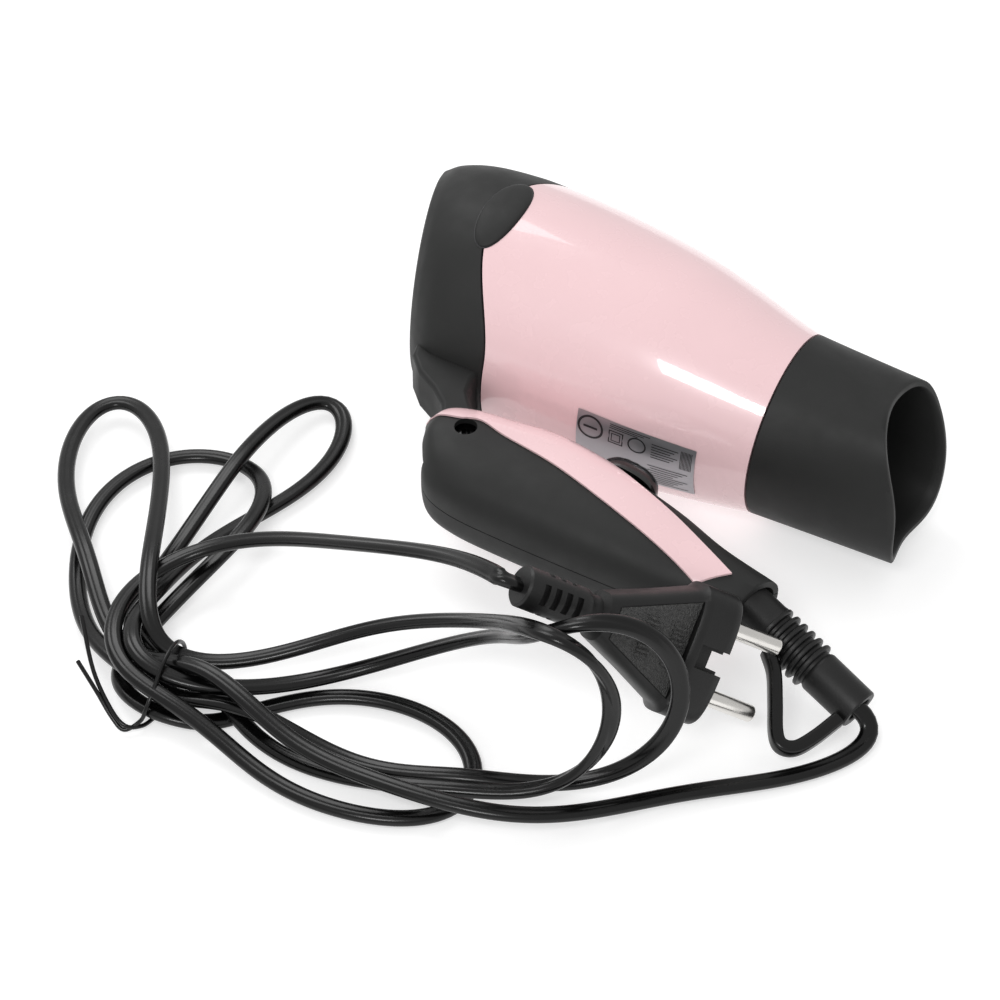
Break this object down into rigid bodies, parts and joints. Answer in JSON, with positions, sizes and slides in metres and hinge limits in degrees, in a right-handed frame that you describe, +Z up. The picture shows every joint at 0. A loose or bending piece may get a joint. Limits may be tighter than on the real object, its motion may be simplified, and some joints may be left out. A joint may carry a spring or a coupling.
{
  "type": "hair dryer",
  "caption": "Folding travel hair dryer with a round barrel, a turning nozzle, a hinged handle with a slide switch, and a tied mains cord with a round-pin plug.",
  "frame": {"origin": "middle of the base of the dryer without its free cord and plug, on the surface it lies on", "axes": "+X towards the nozzle, along the folded dryer; +Z up; +Y towards the barrel's top edge"},
  "size_m": [0.2602, 0.2157, 0.0766],
  "materials": {
    "pink_gloss": "gloss pink moulded plastic",
    "soft_grey": "soft-touch dark grey",
    "black_rubber": "satin black flexible plastic",
    "grey_plastic": "plain dark grey",
    "steel": "nickel-plated steel",
    "label_silver": "silver foil label",
    "mica_sheet": "mica sheet"
  },
  "bodies": {
    "handle": {"handle_shell_left": "soft_grey", "handle_shell_right": "soft_grey", "stripe_inlay_left": "pink_gloss", "stripe_inlay_right": "pink_gloss", "hinge_pin": "steel", "hinge_screw": "steel", "hinge_washer_left": "steel", "hinge_washer_right": "steel", "detent_ball": "steel", "detent_spring": "steel", "handle_screw_1": "steel", "handle_screw_2": "steel", "switch_body": "grey_plastic", "cord_clamp": "grey_plastic", "lead_live": "black_rubber", "lead_neutral": "black_rubber", "strain_relief_boot": "black_rubber", "hang_loop": "black_rubber", "mains_cord": "black_rubber", "plug_body": "black_rubber", "plug_pin_1": "steel", "plug_pin_2": "steel", "cord_tie": "black_rubber"},
    "barrel": {"barrel_shell_left": "pink_gloss", "barrel_shell_right": "pink_gloss", "rear_hood": "soft_grey", "intake_grille": "grey_plastic", "intake_filter_screen": "steel", "oval_inlay_left": "soft_grey", "oval_inlay_right": "soft_grey", "rating_label": "label_silver", "motor_mount": "grey_plastic", "motor_can": "steel", "mica_liner_tube": "mica_sheet", "mica_plate_a": "mica_sheet", "mica_plate_b": "mica_sheet", "heating_coil": "steel", "thermal_fuse": "steel", "thermostat": "grey_plastic", "outlet_grille": "soft_grey"},
    "fan": {"fan_impeller": "grey_plastic", "motor_shaft": "steel"},
    "nozzle_collar": {"nozzle_snap_ring": "grey_plastic"},
    "nozzle": {"nozzle": "soft_grey"},
    "switch_button": {"switch_slider": "black_rubber"}
  },
  "joints": [
    {"name": "handle_fold", "type": "hinge", "parent": "handle", "child": "barrel", "pos_m": [-0.03941, -0.02663, 0.02975], "axis": [0.0727, -0.1219, 0.9899], "range_deg": [0, 90], "deforming": ["mains_cord"]},
    {"name": "fan_spin", "type": "hinge", "parent": "barrel", "child": "fan", "pos_m": [-0.0653, 0.03292, 0.03899], "axis": [0.9973, 0, -0.0732], "continuous": true},
    {"name": "nozzle_pull", "type": "slide", "parent": "barrel", "child": "nozzle_collar", "axis": [0.9973, 0, -0.0732], "range_m": [0, 0.035]},
    {"name": "nozzle_swivel", "type": "hinge", "parent": "nozzle_collar", "child": "nozzle", "pos_m": [0.0334, 0.02895, 0.03125], "axis": [0.9973, 0, -0.0732], "continuous": true},
    {"name": "switch_slide", "type": "slide", "parent": "handle", "child": "switch_button", "axis": [0.9876, -0.1296, -0.0885], "range_m": [-0.005, 0.005]}
  ]
}
